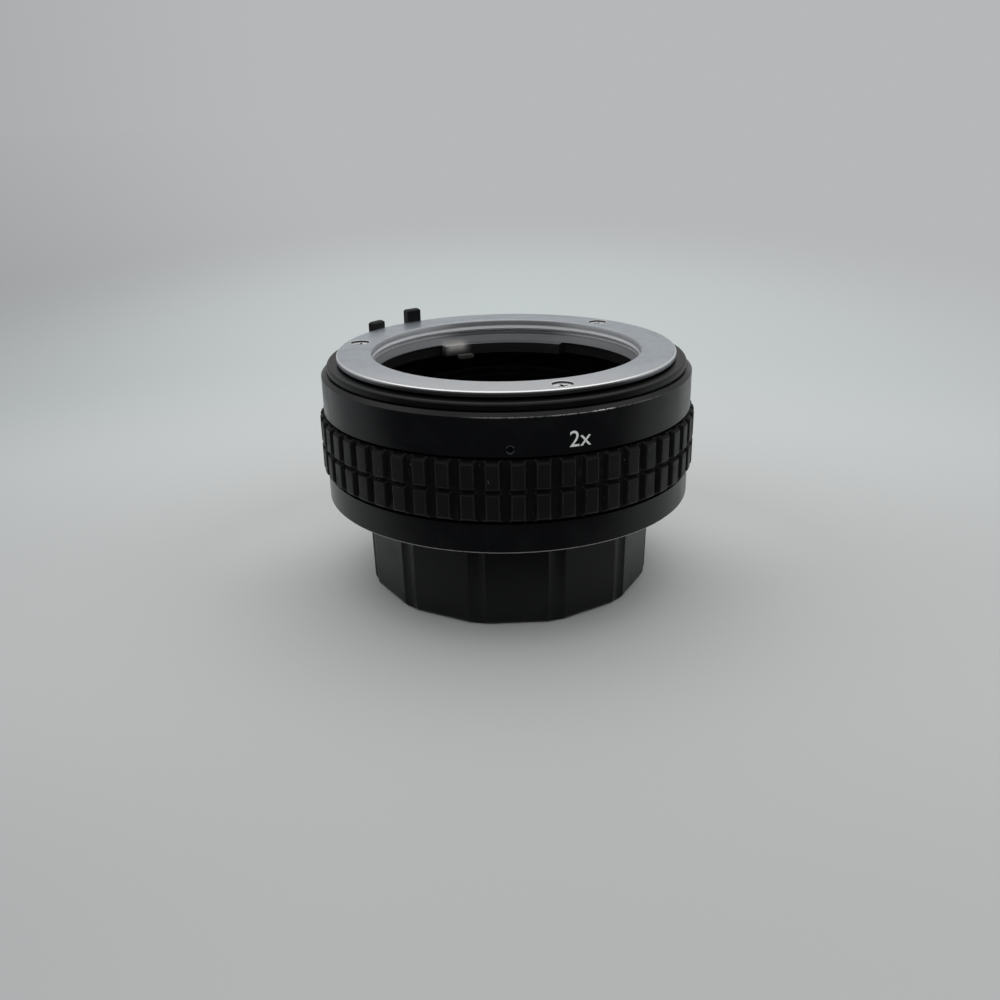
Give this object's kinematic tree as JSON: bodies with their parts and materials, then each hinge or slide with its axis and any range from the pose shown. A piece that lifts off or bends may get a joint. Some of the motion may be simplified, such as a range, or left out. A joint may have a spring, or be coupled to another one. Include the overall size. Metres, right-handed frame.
{
  "type": "camera teleconverter",
  "caption": "Black camera teleconverter with a ribbed rubber grip, a bright bayonet plate, coupling prongs and a faceted rear cap it stands on.",
  "frame": {"origin": "centre of the rear cap's underside, where the converter stands", "axes": "+Z along the optical axis towards the lens side, -Y towards the viewer's view, +X to its right"},
  "size_m": [0.0654, 0.0654, 0.0435],
  "materials": {
    "black_paint": "satin black paint",
    "black_anodised": "black anodised",
    "grip_rubber": "moulded, matt",
    "plated_mount": "satin chrome plate",
    "screw_steel": "bright steel",
    "spring_steel": "rolled spring steel",
    "coated_glass": "polished and coated",
    "blackened_steel": "blackened",
    "cap_plastic": "moulded, satin"
  },
  "bodies": {
    "converter": {"barrel": "black_paint", "grip_ring": "grip_rubber", "front_mount": "plated_mount", "front_mount_screws": "screw_steel", "bayonet_spring": "spring_steel", "chassis": "black_anodised", "set_screws": "screw_steel", "lens_cell": "black_anodised", "lens_front": "coated_glass", "lens_spacer": "black_anodised", "lens_second": "coated_glass", "lens_third": "coated_glass", "lens_rear": "coated_glass", "front_retainer": "black_anodised", "rear_retainer": "black_anodised", "light_mask": "blackened_steel", "rear_mount": "plated_mount", "rear_mount_screws": "screw_steel", "lever_clip": "spring_steel"},
    "coupling": {"coupling_ring": "black_paint", "coupling_rods": "screw_steel", "rear_coupling_ring": "black_anodised"},
    "lever": {"lever_ring": "blackened_steel"},
    "cap": {"rear_cap": "cap_plastic"}
  },
  "joints": [
    {"name": "coupling_turn", "type": "hinge", "parent": "converter", "child": "coupling", "pos_m": [0, 0, 0], "axis": [0, 0, 1], "range_deg": [0, 45]},
    {"name": "lever_turn", "type": "hinge", "parent": "converter", "child": "lever", "pos_m": [0, 0, 0], "axis": [0, 0, 1], "range_deg": [0, 30], "stiffness_Nm_per_rad": 0.02},
    {"name": "cap_twist", "type": "hinge", "parent": "converter", "child": "cap", "pos_m": [0, 0, 0], "axis": [0, 0, 1], "range_deg": [0, 60]}
  ]
}
